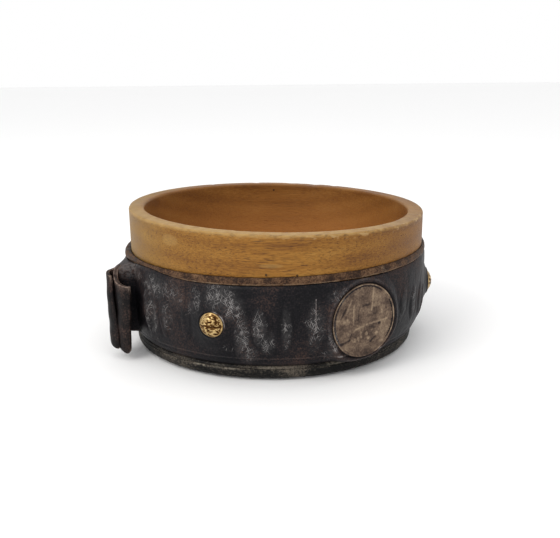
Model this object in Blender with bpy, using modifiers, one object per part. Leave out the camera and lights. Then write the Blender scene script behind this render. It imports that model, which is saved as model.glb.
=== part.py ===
"""A turned wooden cup in a leather cover, with set coins, brass nails and a curled leather lug.

Axis of the cup on +Z, standing on z = 0, front towards -Y, lug on the left (-X) side.
Lengths in metres. Azimuths are degrees from the front (-Y) towards the right (+X).
"""
import math

import bmesh
import bpy
from mathutils import Matrix, Vector

# Cup
RIM_R = 0.0570
RIM_Z = 0.0519
RIM_SLOPE = -0.025          # the rim is not level: z rises by this much per metre of x
WALL_T = 0.0058
FLOOR_Z = 0.0086
FLOOR_FILLET = 0.0120
REBATE_R = 0.0564           # the cup is turned a little thinner where the leather goes
REBATE_Z = 0.0360
FOOT_R = 0.0510
FOOT_Z = 0.0023
FIT = 0.0003                # clearance between neighbouring pieces
STEPS = 96                  # facets round the turned pieces

# Leather cover
SLEEVE_TOP_Z = 0.0350
SLEEVE_FOOT_Z = 0.0063
EDGE_SLOPE = 0.013          # the cover's top edge, too, is not level
BINDING_TOP_Z = 0.0378
WELT_Z = 0.0051
WELT_R = 0.0548
BASE_R = 0.0550
BASE_TOP_Z = 0.0040
BASE_T = 0.0018

# Coins
COIN_R = 0.0130
COIN_T = 0.0017
COIN_FACE_R = 0.0589        # from the cup's axis to the coin's face
COIN_Z = 0.0204
COIN_AZIMUTHS = {"coin_front": 30.7, "coin_rear": 150.0}
LIP_W = 0.0036              # leather lip raised at both sides of each coin
LIP_SQUASH = 0.84           # the lip is an oval, lower than it is wide, inside the sleeve's height
LIP_PROUD = 0.0002
LIP_TOP_W = 0.0011
LIP_CORE_T = 0.0006
LIP_FOOT_R = 0.0550
WINDOW_IN_R = 0.0500
WINDOW_OUT_R = 0.0650

# Brass nails on leather-covered pads
NAIL_HEAD_R = 0.0043
NAIL_DOME = 0.0019
NAIL_SEAT_R = 0.0602        # from the cup's axis to the top of the leather bump
NAIL_SHANK_R = 0.0008
NAIL_DEPTH = 0.0040
NAILS = {"1": (-21.3, 0.0213), "2": (91.0, 0.0201), "3": (210.0, 0.0213)}     # azimuth and height
BUMP_R = 0.0066             # foot of the leather bump
BUMP_FOOT_R = 0.0572        # from the cup's axis to that foot, inside the sleeve
PAD_R = 0.0052
PAD_TOP_R = 0.0586
PAD_FLARE = 0.0008          # a pad is this much wider at its foot
PAD_TAPER = 0.0009
POCKET_FLARE = 0.0012
POCKET_FOOT_R = 0.0550
NAIL_HOLE_IN_R = 0.0560
NAIL_HOLE_OUT_R = 0.0640
CORE_TOP_Z = 0.0600         # above everything, for cutters that stand for the cup's body

# Lug
HINGE_XY = (-0.0586, -0.0236)
KNUCKLE_R = 0.0010
CURL_T = 0.0017
ROLL_T = 0.0013

# The folded leather at the root of the lug, in plan, as (x, y, z_high, z_low)
LUG_PLAN = [
    (-0.0500, -0.0262, 0.0358, 0.0088), (-0.0553, -0.0253, 0.0350, 0.0083),
    (-0.0574, -0.0247, 0.0338, 0.0081), (-0.0590, -0.0240, 0.0333, 0.0081),
    (-0.0598, -0.0222, 0.0335, 0.0082), (-0.0592, -0.0170, 0.0345, 0.0088),
    (-0.0582, -0.0120, 0.0352, 0.0096), (-0.0575, -0.0080, 0.0354, 0.0104),
    (-0.0520, -0.0080, 0.0354, 0.0104),
]

# Sleeve's outside with the root's glue gap, as (r, z)
CLEARANCE = [
    (0.0584, CORE_TOP_Z), (0.0588, 0.0320), (0.0589, 0.0260), (0.0587, 0.0180),
    (0.0583, 0.0125), (0.0573, 0.0084), (0.0560, 0.0),
]
SOCKET_CLEARANCE = 0.0005

# Lug strips in plan, as (x, y, z_low, z_high) anchors from the hinge outwards
CURL_PATH = [
    (-0.0586, -0.0236, 0.0082, 0.0334), (-0.0589, -0.0256, 0.0066, 0.0328),
    (-0.0589, -0.0278, 0.0054, 0.0312),
    (-0.0578, -0.0302, 0.0043, 0.0296), (-0.0562, -0.0322, 0.0034, 0.0288),
    (-0.0543, -0.0335, 0.0027, 0.0285),
    (-0.0524, -0.0341, 0.0033, 0.0288),
]
ROLL_PATH = [
    (-0.0602, -0.0242, 0.0082, 0.0328), (-0.0613, -0.0243, 0.0079, 0.0326),
    (-0.0621, -0.0252, 0.0075, 0.0324),
    (-0.0622, -0.0268, 0.0066, 0.0322), (-0.0617, -0.0281, 0.0054, 0.0318),
    (-0.0606, -0.0288, 0.0044, 0.0316),
]


def clear_scene():
    for obj in list(bpy.data.objects):
        bpy.data.objects.remove(obj, do_unlink=True)


def new_collection(name):
    collection = bpy.data.collections.new(name)
    bpy.context.scene.collection.children.link(collection)
    return collection


def material(name, colour, roughness, metallic=0.0):
    mat = bpy.data.materials.new(name)
    mat.use_nodes = True
    shader = mat.node_tree.nodes["Principled BSDF"]
    shader.inputs["Base Color"].default_value = (*colour, 1.0)
    shader.inputs["Roughness"].default_value = roughness
    shader.inputs["Metallic"].default_value = metallic
    return mat


def add_object(name, mesh, collection, mat=None):
    obj = bpy.data.objects.new(name, mesh)
    collection.objects.link(obj)
    if mat:
        mesh.materials.append(mat)
    return obj


def outward(azimuth):
    angle = math.radians(azimuth)
    return Vector((math.sin(angle), -math.cos(angle), 0.0))


def arc(centre_r, centre_z, radius, start, end, count):
    """Points of an arc in the profile plane, angles in degrees, as (r, z)."""
    points = []
    for i in range(count + 1):
        angle = math.radians(start + (end - start) * i / count)
        points.append((centre_r + radius * math.cos(angle), centre_z + radius * math.sin(angle)))
    return points


def turned(name, profile, collection, mat, closed, steps=STEPS):
    """Turns a profile of (r, z) points round the Z axis with a Screw modifier.

    An open profile starts and ends on the axis; a closed one is a ring's section.
    """
    mesh = bpy.data.meshes.new(name)
    count = len(profile)
    edges = [(i, i + 1) for i in range(count - 1)]
    if closed:
        edges.append((count - 1, 0))
    mesh.from_pydata([(r, 0.0, z) for r, z in profile], edges, [])
    obj = add_object(name, mesh, collection, mat)
    screw = obj.modifiers.new("Turn", "SCREW")
    screw.steps = steps
    screw.render_steps = steps
    screw.use_merge_vertices = True
    screw.merge_threshold = 0.00001
    screw.use_normal_calculate = False
    return obj


def bake(obj):
    """Replaces an object's mesh by its evaluated mesh, with its modifiers taken off."""
    graph = bpy.context.evaluated_depsgraph_get()
    graph.update()
    mesh = bpy.data.meshes.new_from_object(obj.evaluated_get(graph))
    obj.modifiers.clear()
    obj.data = mesh
    return obj


def slope_band(obj, z_fixed, z_full, slope):
    """Tilts a piece's upper part: nothing moves below z_fixed, and z_full moves by slope * x."""
    for vertex in obj.data.vertices:
        share = max(0.0, min(1.0, (vertex.co.z - z_fixed) / (z_full - z_fixed)))
        vertex.co.z += share * slope * vertex.co.x


def smooth(obj, degrees=35):
    obj.data.shade_smooth()
    obj.data.set_sharp_from_angle(angle=math.radians(degrees))


def boolean(obj, other, operation, solver="EXACT"):
    mod = obj.modifiers.new(operation.title(), "BOOLEAN")
    mod.object = other
    mod.operation = operation
    mod.solver = solver


def radial_cone(
    name, azimuth, z, r_near, r_far, near_radius, far_radius, collection, mat=None, sides=24, squash=1.0
):
    """A closed cone lying along a radius of the cup, from r_near to r_far, squashed in height."""
    mesh = bpy.data.meshes.new(name)
    bm = bmesh.new()
    bmesh.ops.create_cone(
        bm, cap_ends=True, segments=sides, radius1=near_radius, radius2=far_radius, depth=r_far - r_near
    )
    bmesh.ops.scale(bm, vec=(1.0, squash, 1.0), verts=bm.verts)
    bm.to_mesh(mesh)
    bm.free()
    obj = add_object(name, mesh, collection, mat)
    out = outward(azimuth)
    obj.matrix_world = Matrix.Translation(out * ((r_near + r_far) / 2) + Vector((0, 0, z))) @ (
        out.to_track_quat("Z", "Y").to_matrix().to_4x4()
    )
    return obj


def make_cutter(obj):
    obj.hide_render = True
    obj.display_type = "WIRE"
    return obj


def wood_bowl(parts, cutters, mat):
    """One turned piece: straight wall, flat rim, rounded floor, thinner where the leather goes."""
    inner_r = RIM_R - WALL_T
    profile = [(0.0, FLOOR_Z)]
    profile += arc(inner_r - 0.0002 - FLOOR_FILLET, FLOOR_Z + FLOOR_FILLET, FLOOR_FILLET, 270, 360, 6)
    profile += [(inner_r, RIM_Z - 0.0010), (inner_r + 0.0007, RIM_Z)]
    profile += [(RIM_R - 0.0007, RIM_Z), (RIM_R, RIM_Z - 0.0008)]
    profile += [(RIM_R - 0.0001, REBATE_Z), (REBATE_R, REBATE_Z - 0.0006)]
    profile += [(REBATE_R, 0.0150), (0.0556, 0.0108), (0.0541, 0.0078), (0.0529, 0.0058)]
    profile += [(0.0520, 0.0040), (FOOT_R, FOOT_Z), (0.0, FOOT_Z)]
    obj = bake(turned("wood_bowl", profile, parts, mat, closed=False))
    slope_band(obj, REBATE_Z + 0.0030, RIM_Z, RIM_SLOPE)
    for label, (azimuth, height) in NAILS.items():
        hole = radial_cone(
            "nail_hole_" + label, azimuth, height, REBATE_R - NAIL_DEPTH - FIT, REBATE_R + 0.002,
            NAIL_SHANK_R + FIT, NAIL_SHANK_R + FIT, cutters, sides=12,
        )
        boolean(obj, make_cutter(hole), "DIFFERENCE")
    return obj


def leather_sleeve(parts, cutters, mat):
    """The cover's wall: a strip round the cup, moulded up round the coins and over the nail pads."""
    inner = REBATE_R + FIT
    outside = [
        (0.0581, SLEEVE_TOP_Z), (0.0584, 0.0320), (0.0585, 0.0260), (0.0583, 0.0180),
        (0.0579, 0.0125), (0.0568, 0.0086), (0.0559, SLEEVE_FOOT_Z),
    ]
    inside = [
        (0.0538, SLEEVE_FOOT_Z), (0.0549, 0.0074), (0.0562, 0.0109), (inner, 0.0151), (inner, SLEEVE_TOP_Z),
    ]
    obj = bake(turned("leather_sleeve", outside + inside, parts, mat, closed=True))
    slope_band(obj, 0.0280, SLEEVE_TOP_Z, EDGE_SLOPE)
    middle = inner + LIP_CORE_T
    core = turned(
        "lip_core", [(0.0, CORE_TOP_Z), (middle, CORE_TOP_Z), (middle, 0.0), (0.0, 0.0)], cutters, None, False
    )
    make_cutter(core)
    for name, azimuth in COIN_AZIMUTHS.items():
        lip = radial_cone(
            name + "_lip", azimuth, COIN_Z, LIP_FOOT_R, COIN_FACE_R + LIP_PROUD,
            COIN_R + LIP_W, COIN_R + LIP_TOP_W, cutters, sides=40, squash=LIP_SQUASH,
        )
        boolean(lip, core, "DIFFERENCE")
        boolean(obj, make_cutter(lip), "UNION", "MANIFOLD")
    for label, (azimuth, height) in NAILS.items():
        bump = radial_cone(
            "bump_" + label, azimuth, height, BUMP_FOOT_R, NAIL_SEAT_R, BUMP_R, NAIL_HEAD_R + FIT, cutters,
        )
        boolean(obj, make_cutter(bump), "UNION", "MANIFOLD")
    for name, azimuth in COIN_AZIMUTHS.items():
        window = radial_cone(
            name + "_window", azimuth, COIN_Z, WINDOW_IN_R, WINDOW_OUT_R,
            COIN_R + FIT, COIN_R + FIT, cutters, sides=40,
        )
        boolean(obj, make_cutter(window), "DIFFERENCE", "MANIFOLD")
    for label, (azimuth, height) in NAILS.items():
        pocket = radial_cone(
            "pad_pocket_" + label, azimuth, height, POCKET_FOOT_R, PAD_TOP_R + FIT,
            PAD_R + POCKET_FLARE, PAD_R - PAD_TAPER, cutters,
        )
        boolean(obj, make_cutter(pocket), "DIFFERENCE", "MANIFOLD")
        hole = radial_cone(
            "sleeve_hole_" + label, azimuth, height, NAIL_HOLE_IN_R, NAIL_HOLE_OUT_R,
            NAIL_SHANK_R + FIT, NAIL_SHANK_R + FIT, cutters, sides=12,
        )
        boolean(obj, make_cutter(hole), "DIFFERENCE", "MANIFOLD")
    return obj


def top_binding(parts, mat):
    """A narrow strip round the cup on the sleeve's top edge."""
    low = SLEEVE_TOP_Z + FIT
    inner = RIM_R + FIT
    profile = [
        (0.0576, BINDING_TOP_Z), (0.0580, BINDING_TOP_Z - 0.0006), (0.0581, low + 0.0006),
        (0.0579, low), (inner, low), (inner, BINDING_TOP_Z),
    ]
    obj = bake(turned("top_binding", profile, parts, mat, closed=True))
    slope_band(obj, 0.0280, SLEEVE_TOP_Z, EDGE_SLOPE)
    smooth(obj)
    return obj


def bottom_welt(parts, mat):
    """A thin leather cord laid in the joint between the sleeve and the base."""
    profile = arc(WELT_R - 0.0008, WELT_Z, 0.0008, 90, -270, 8)[:-1]
    obj = turned("bottom_welt", profile, parts, mat, closed=True)
    smooth(obj)
    return obj


def leather_base(parts, mat):
    """A leather disc with its edge turned up round the foot of the cup."""
    profile = [
        (0.0, BASE_T), (0.0512, BASE_T), (0.0522, 0.0025), (0.0532, BASE_TOP_Z),
        (BASE_R - 0.0002, BASE_TOP_Z), (BASE_R, BASE_TOP_Z - 0.0007), (0.0546, 0.0010),
        (0.0537, 0.0003), (0.0524, 0.0), (0.0, 0.0),
    ]
    return turned("leather_base", profile, parts, mat, closed=False)


def coin(name, azimuth, parts, mat):
    """A round coin with its rim raised a little above the face."""
    edge = COIN_R
    profile = [
        (0.0, COIN_T - 0.0003), (edge - 0.0012, COIN_T - 0.0003), (edge - 0.0009, COIN_T),
        (edge - 0.0002, COIN_T), (edge, COIN_T - 0.0002), (edge, 0.0001), (edge - 0.0001, 0.0), (0.0, 0.0),
    ]
    obj = turned(name, profile, parts, mat, closed=False, steps=40)
    out = outward(azimuth)
    obj.matrix_world = Matrix.Translation(out * (COIN_FACE_R - COIN_T) + Vector((0, 0, COIN_Z))) @ (
        out.to_track_quat("Z", "Y").to_matrix().to_4x4()
    )
    return obj


def brass_nail(label, azimuth, height, parts, mat):
    """A domed upholstery nail: the head sits on the leather bump, the shank goes into the wall."""
    seat = NAIL_SEAT_R + FIT
    point = seat - (REBATE_R - NAIL_DEPTH)
    dome_r = (NAIL_HEAD_R ** 2 + NAIL_DOME ** 2) / (2 * NAIL_DOME)
    half_angle = math.degrees(math.asin(NAIL_HEAD_R / dome_r))
    profile = [(0.0, NAIL_DOME)]
    profile += arc(0.0, NAIL_DOME - dome_r, dome_r, 90, 90 - half_angle, 5)[1:]
    profile += [(NAIL_HEAD_R - 0.0002, -0.0), (NAIL_SHANK_R, 0.0), (NAIL_SHANK_R, -point + 0.0015)]
    profile += [(0.0, -point)]
    obj = turned("brass_nail_" + label, profile, parts, mat, closed=False, steps=24)
    out = outward(azimuth)
    obj.matrix_world = Matrix.Translation(out * seat + Vector((0, 0, height))) @ (
        out.to_track_quat("Z", "Y").to_matrix().to_4x4()
    )
    smooth(obj)
    return obj


def nail_pad(label, azimuth, height, parts, cutters, mat):
    """A skived leather washer under the sleeve that raises the bump for a nail."""
    obj = radial_cone(
        "nail_pad_" + label, azimuth, height, NAIL_HOLE_IN_R, PAD_TOP_R,
        PAD_R + PAD_FLARE, PAD_R - PAD_TAPER - 0.0005, parts, mat,
    )
    core = turned(
        "pad_core_" + label,
        [(0.0, CORE_TOP_Z), (REBATE_R + FIT, CORE_TOP_Z), (REBATE_R + FIT, 0.0), (0.0, 0.0)],
        cutters, None, False,
    )
    boolean(obj, make_cutter(core), "DIFFERENCE")
    hole = radial_cone(
        "pad_hole_" + label, azimuth, height, NAIL_HOLE_IN_R - 0.002, NAIL_HOLE_OUT_R,
        NAIL_SHANK_R + FIT, NAIL_SHANK_R + FIT, cutters, sides=12,
    )
    boolean(obj, make_cutter(hole), "DIFFERENCE")
    return obj


def path_points(anchors, per_span):
    """Points of a Catmull-Rom curve through (x, y, z_low, z_high) anchors."""
    rows = [Vector(a) for a in anchors]
    rows = [rows[0] * 2 - rows[1]] + rows + [rows[-1] * 2 - rows[-2]]
    points = []
    for i in range(1, len(rows) - 2):
        for step in range(per_span):
            t = step / per_span
            a, b, c, d = rows[i - 1:i + 3]
            points.append(0.5 * (2 * b + (c - a) * t + (2 * a - 5 * b + 4 * c - d) * t ** 2
                                 + (3 * b - 3 * c + d - a) * t ** 3))
    points.append(rows[-2])
    return points


def strap(name, anchors, thickness, parts, mat, per_span=4):
    """A strip of leather standing on edge along a path in plan, with rounded cut edges."""
    points = path_points(anchors, per_span)
    bm = bmesh.new()
    low = [bm.verts.new((p[0], p[1], p[2])) for p in points]
    high = [bm.verts.new((p[0], p[1], p[3])) for p in points]
    for i in range(len(points) - 1):
        bm.faces.new((low[i], low[i + 1], high[i + 1], high[i]))
    mesh = bpy.data.meshes.new(name)
    bm.to_mesh(mesh)
    bm.free()
    obj = add_object(name, mesh, parts, mat)
    thick = obj.modifiers.new("Thickness", "SOLIDIFY")
    thick.thickness = thickness
    thick.offset = 0.0
    thick.use_even_offset = True
    bevel = obj.modifiers.new("Edges", "BEVEL")
    bevel.width = 0.0004
    bevel.segments = 2
    bevel.limit_method = "ANGLE"
    bevel.angle_limit = math.radians(50)
    return obj


def lug_root(parts, cutters, mat):
    """The folded leather that runs out of the sleeve like a tent and carries the lug."""
    hinge = Vector((*HINGE_XY, 0.0))
    bm = bmesh.new()
    low = [bm.verts.new((x, y, z_low)) for x, y, _, z_low in LUG_PLAN]
    high = [bm.verts.new((x, y, z_high - 0.0004)) for x, y, z_high, _ in LUG_PLAN]
    bm.faces.new(low)
    bm.faces.new(list(reversed(high)))
    for i in range(len(LUG_PLAN)):
        j = (i + 1) % len(LUG_PLAN)
        bm.faces.new((low[j], low[i], high[i], high[j]))
    bmesh.ops.triangulate(bm, faces=bm.faces)
    bmesh.ops.recalc_face_normals(bm, faces=bm.faces)
    mesh = bpy.data.meshes.new("lug_root")
    bm.to_mesh(mesh)
    bm.free()
    obj = add_object("lug_root", mesh, parts, mat)
    body = turned(
        "sleeve_clearance",
        [(0.0, CORE_TOP_Z), *CLEARANCE, (0.0, 0.0)], cutters, None, False,
    )
    boolean(obj, make_cutter(body), "DIFFERENCE")
    socket = add_object("lug_socket", bpy.data.meshes.new("lug_socket"), cutters)
    bm = bmesh.new()
    bmesh.ops.create_cone(
        bm, cap_ends=True, segments=24, radius1=KNUCKLE_R + SOCKET_CLEARANCE,
        radius2=KNUCKLE_R + SOCKET_CLEARANCE, depth=CORE_TOP_Z,
    )
    bm.to_mesh(socket.data)
    bm.free()
    socket.location = hinge + Vector((0, 0, CORE_TOP_Z / 3))
    boolean(obj, make_cutter(socket), "DIFFERENCE")
    return obj


def main():
    clear_scene()
    parts = new_collection("kuksa_cup")
    cutters = new_collection("cutters")
    cutters.hide_render = True
    wood = material("turned_wood", (0.31, 0.16, 0.045), 0.55)
    dark = material("cover_leather", (0.024, 0.019, 0.018), 0.55)
    brown = material("binding_leather", (0.11, 0.075, 0.05), 0.6)
    bronze = material("coin_bronze", (0.19, 0.13, 0.085), 0.45, 0.8)
    brass = material("nail_brass", (0.55, 0.38, 0.12), 0.35, 1.0)
    wood_bowl(parts, cutters, wood)
    leather_sleeve(parts, cutters, dark)
    top_binding(parts, brown)
    bottom_welt(parts, brown)
    leather_base(parts, dark)
    for name, azimuth in COIN_AZIMUTHS.items():
        coin(name, azimuth, parts, bronze)
    for label, (azimuth, height) in NAILS.items():
        brass_nail(label, azimuth, height, parts, brass)
        nail_pad(label, azimuth, height, parts, cutters, dark)
    lug_root(parts, cutters, dark)
    strap("lug_curl", CURL_PATH, CURL_T, parts, dark)
    strap("lug_roll", ROLL_PATH, ROLL_T, parts, dark)


main()
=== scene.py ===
"""The looks of a turned wooden cup in a black moulded leather cover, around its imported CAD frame.

Metres, +Z up. Azimuths are degrees from the front (-Y) towards the right (+X).
"""
import math

import bmesh
import bpy
import numpy as np
from mathutils import Matrix, Vector, noise


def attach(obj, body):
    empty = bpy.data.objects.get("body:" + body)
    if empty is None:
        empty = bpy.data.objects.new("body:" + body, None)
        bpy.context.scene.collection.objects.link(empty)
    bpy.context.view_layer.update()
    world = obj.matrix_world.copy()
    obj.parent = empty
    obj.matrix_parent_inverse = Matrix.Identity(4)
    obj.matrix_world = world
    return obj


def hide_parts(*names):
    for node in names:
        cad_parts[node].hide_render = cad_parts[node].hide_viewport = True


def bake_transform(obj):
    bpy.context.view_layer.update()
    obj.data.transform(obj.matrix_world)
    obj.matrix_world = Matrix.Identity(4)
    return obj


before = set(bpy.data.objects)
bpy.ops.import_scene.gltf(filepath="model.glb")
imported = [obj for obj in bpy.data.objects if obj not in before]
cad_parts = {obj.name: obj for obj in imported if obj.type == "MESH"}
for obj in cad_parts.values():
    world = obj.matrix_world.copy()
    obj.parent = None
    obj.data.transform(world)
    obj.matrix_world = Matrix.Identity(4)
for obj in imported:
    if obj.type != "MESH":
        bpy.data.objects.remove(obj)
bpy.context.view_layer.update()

# ---------------------------------------------------------------- table, light and camera
# The cup stands on a plain white table in soft daylight from the upper left, seen a little from above.

VIEW_AIM = Vector((0.0013, 0.0, 0.02555))
VIEW_DISTANCE = 0.3215
VIEW_ELEVATION = math.radians(14.83)
VIEW_ROLL = math.radians(-0.57)
LENS = 51.43


def soft_light(name, place, size, power, colour):
    """A square soft light that shines towards the cup."""
    lamp = bpy.data.lights.new(name, "AREA")
    lamp.shape = "RECTANGLE"
    lamp.size = size
    lamp.size_y = size
    lamp.energy = power
    lamp.color = colour
    obj = bpy.data.objects.new(name, lamp)
    obj.location = place
    obj.rotation_euler = (VIEW_AIM - Vector(place)).to_track_quat("-Z", "Y").to_euler()
    bpy.context.scene.collection.objects.link(obj)


camera = bpy.data.objects.new("camera", bpy.data.cameras.new("camera"))
camera.data.lens = LENS
camera.data.clip_start = 0.01
camera.data.clip_end = 10.0
towards_viewer = Vector((0.0, -math.cos(VIEW_ELEVATION), math.sin(VIEW_ELEVATION)))
camera.location = VIEW_AIM + towards_viewer * VIEW_DISTANCE
level = towards_viewer.to_track_quat("Z", "Y")
camera.rotation_euler = (level.to_matrix() @ Matrix.Rotation(VIEW_ROLL, 3, "Z")).to_euler()
bpy.context.scene.collection.objects.link(camera)
bpy.context.scene.camera = camera
bpy.context.scene.view_settings.view_transform = "Standard"

soft_light("window", (-0.50, -0.50, 0.60), 0.45, 2.85, (1.0, 0.98, 0.95))
soft_light("ceiling", (0.0, -0.10, 0.90), 0.90, 1.15, (1.0, 1.0, 1.0))

world = bpy.data.worlds.new("studio")
world.use_nodes = True
world.node_tree.nodes["Background"].inputs["Color"].default_value = (1.0, 1.0, 1.0, 1.0)
world.node_tree.nodes["Background"].inputs["Strength"].default_value = 1.0
bpy.context.scene.world = world


def grid_mesh(name, places, closed_round=False):
    """A mesh from a grid of points, rows of columns of (x, y, z), joined round if closed_round."""
    rows, columns, _ = places.shape
    count = columns if closed_round else columns - 1
    faces = []
    for row in range(rows - 1):
        for column in range(count):
            following = (column + 1) % columns
            faces.append((
                row * columns + column, row * columns + following,
                (row + 1) * columns + following, (row + 1) * columns + column,
            ))
    mesh = bpy.data.meshes.new(name)
    mesh.from_pydata(places.reshape(-1, 3).tolist(), [], faces)
    mesh.update()
    return mesh


def add_piece(name, mesh, material):
    """A smooth-shaded object in the scene, with one material."""
    obj = bpy.data.objects.new(name, mesh)
    bpy.context.scene.collection.objects.link(obj)
    mesh.materials.append(material)
    for polygon in mesh.polygons:
        polygon.use_smooth = True
    return obj


def new_material(name, roughness, **constants):
    """A Principled material. Constants are set on the shader's own sockets."""
    material = bpy.data.materials.new(name)
    material.use_nodes = True
    shader = material.node_tree.nodes["Principled BSDF"]
    shader.inputs["Roughness"].default_value = roughness
    for socket, value in constants.items():
        shader.inputs[socket.replace("_", " ")].default_value = value
    return material, material.node_tree, shader


table_material, _, table_shader = new_material("white_table", 0.8)
table_shader.inputs["Base Color"].default_value = (0.93, 0.93, 0.93, 1.0)
TABLE_HALF_W = 3.0
TABLE_Z = -0.0001
span = np.linspace(-TABLE_HALF_W, TABLE_HALF_W, 3)
table_places = np.array([[(x, y, TABLE_Z) for x in span] for y in span])
table_top = add_piece("table_top", grid_mesh("table_top", table_places), table_material)

# ---------------------------------------------------------------- wood_bowl
# A cup turned from one block of pale wood with its grain lying along X, so pores run level across the front
# and show end on at both sides. The rim is worn pale and isn't level; the leather hides the lower wall.

RIM_R = 0.0570
RIM_Z = 0.0519
RIM_SLOPE = -0.025
WALL_T = 0.0058
REBATE_R = 0.0564
FLOOR_Z = 0.0086
FLOOR_FILLET = 0.0120
RIM_BEND_Z = 0.0400
FOOT_LEAN = 0.0013
LEAN_TOP_Z = 0.0170
LEAN_SPAN = 0.0150

# Rubbed patches on the wall: the middle, half width and half height
SCUFFS_ON_WOOD = [(-0.0364, -0.0439, 0.0478, 0.0040, 0.0022), (-0.0016, -0.0570, 0.0416, 0.0045, 0.0008)]
PINHOLE_R = 0.00042
PINHOLES = [(-0.0012, 0.0512, 0.0493), (-0.0033, -0.0569, 0.0386), (0.0070, -0.0566, 0.0382)]


def arc(centre_r, centre_z, radius, start, end, count):
    """Points (r, z) on an arc, from start to end in degrees."""
    angles = np.radians(np.linspace(start, end, count + 1))
    return [(centre_r + radius * math.cos(a), centre_z + radius * math.sin(a)) for a in angles]


def resample(profile, step):
    """Points along a profile of (r, z), at most step apart, corners kept."""
    points = [profile[0]]
    for (r0, z0), (r1, z1) in zip(profile, profile[1:]):
        count = max(1, math.ceil(math.hypot(r1 - r0, z1 - z0) / step))
        points += [(r0 + (r1 - r0) * k / count, z0 + (z1 - z0) * k / count) for k in range(1, count + 1)]
    return points


def turned_places(profile, columns):
    """A grid of points: the profile's points turned round Z."""
    azimuths = np.radians(np.linspace(0, 360, columns, endpoint=False))
    radii = np.array([p[0] for p in profile])[:, None]
    heights = np.array([p[1] for p in profile])[:, None]
    return np.stack([
        radii * np.sin(azimuths), -radii * np.cos(azimuths), heights + 0 * azimuths,
    ], axis=-1)


def rumple(places, scale, seed):
    """Perlin noise from -1 to 1 at each point of a grid. Scale is the size of its lumps in metres."""
    flat = places.reshape(-1, 3) / scale + seed
    return np.array([noise.noise(point) for point in flat]).reshape(places.shape[:-1])


def smoothstep(values, low, high):
    """From 0 at low to 1 at high, level at both ends."""
    share = np.clip((values - low) / (high - low), 0.0, 1.0)
    return share * share * (3 - 2 * share)


def lean_foot(places):
    """Moves the lowest part of the cup a little to the left: the block was turned slightly off its middle."""
    places[..., 0] -= FOOT_LEAN * smoothstep(LEAN_TOP_Z - places[..., 2], 0.0, LEAN_SPAN)


def fill_holes(mesh, weld=0.0):
    """Closes the open rings of a mesh and turns its faces outwards. Points within weld are joined first."""
    draft = bmesh.new()
    draft.from_mesh(mesh)
    if weld:
        bmesh.ops.remove_doubles(draft, verts=draft.verts, dist=weld)
    bmesh.ops.holes_fill(draft, edges=[edge for edge in draft.edges if edge.is_boundary])
    bmesh.ops.recalc_face_normals(draft, faces=draft.faces)
    draft.to_mesh(mesh)
    draft.free()


inner_r = RIM_R - WALL_T
bowl_profile = [(0.0004, FLOOR_Z)]
bowl_profile += arc(inner_r - 0.0002 - FLOOR_FILLET, FLOOR_Z + FLOOR_FILLET, FLOOR_FILLET, 270, 360, 10)
bowl_profile += [(inner_r, RIM_Z - 0.0012)]
bowl_profile += arc(inner_r + 0.0009, RIM_Z - 0.0009, 0.0009, 180, 90, 5)
bowl_profile += arc(RIM_R - 0.0007, RIM_Z - 0.0007, 0.0007, 90, 0, 5)
bowl_profile += [(RIM_R - 0.0001, 0.0372), (REBATE_R, 0.0364), (REBATE_R, 0.0160), (0.0550, 0.0108)]
bowl_profile += [(0.0536, 0.0078), (0.0525, 0.0058), (0.0518, 0.0040), (0.0510, 0.0023), (0.0004, 0.0023)]
bowl_places = turned_places(resample(bowl_profile, 0.0011), 420)
radius = np.hypot(bowl_places[..., 0], bowl_places[..., 1])
height = bowl_places[..., 2]
upper = np.clip((height - RIM_BEND_Z) / (RIM_Z - RIM_BEND_Z), 0, 1)
edge = np.clip((height - (RIM_Z - 0.0016)) / 0.0016, 0, 1) * (radius > 0.050)
nicks = np.clip(rumple(bowl_places, 0.0050, 5.0) - 0.30, 0, 1) * 0.0005
waves = rumple(bowl_places, 0.030, 2.0) * 0.00012 + rumple(bowl_places, 0.006, 9.0) * 0.00004
bowl_places[..., 2] += upper * RIM_SLOPE * bowl_places[..., 0] - edge * nicks + waves * (height > RIM_BEND_Z)
lean_foot(bowl_places)
bowl_mesh = grid_mesh("wood_bowl_turned", bowl_places[:, ::-1], closed_round=True)
fill_holes(bowl_mesh)


def add_node(tree, kind, inputs=None, **settings):
    """A shader node. An input is given by name or number, as a value or as another node's output."""
    made = tree.nodes.new("ShaderNode" + kind)
    for name, value in settings.items():
        setattr(made, name, value)
    for key, value in (inputs or {}).items():
        if isinstance(value, bpy.types.NodeSocket):
            tree.links.new(value, made.inputs[key])
        else:
            made.inputs[key].default_value = value
    return made


def ramp(tree, factor, stops):
    """A colour ramp. Stops are (position, colour or grey value)."""
    made = tree.nodes.new("ShaderNodeValToRGB")
    tree.links.new(factor, made.inputs["Fac"])
    elements = made.color_ramp.elements
    while len(elements) < len(stops):
        elements.new(0.5)
    for element, (position, colour) in zip(elements, stops):
        element.position = position
        element.color = (*colour, 1.0) if isinstance(colour, tuple) else (colour, colour, colour, 1.0)
    return made.outputs["Color"]


def srgb(red, green, blue):
    """A colour as a painter reads it, 0 to 255, turned into light values."""
    return tuple(
        (c / 255) / 12.92 if c <= 10 else (((c / 255) + 0.055) / 1.055) ** 2.4 for c in (red, green, blue)
    )


def mix(tree, factor, first, second, blend="MIX"):
    """Mixes two colours; factor, first and second are outputs or values."""
    made = tree.nodes.new("ShaderNodeMix")
    made.data_type = "RGBA"
    made.blend_type = blend
    for index, value in ((0, factor), (6, first), (7, second)):
        if isinstance(value, bpy.types.NodeSocket):
            tree.links.new(value, made.inputs[index])
        elif index == 0:
            made.inputs[0].default_value = value
        else:
            made.inputs[index].default_value = (*value, 1.0)
    return made.outputs[2]


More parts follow.
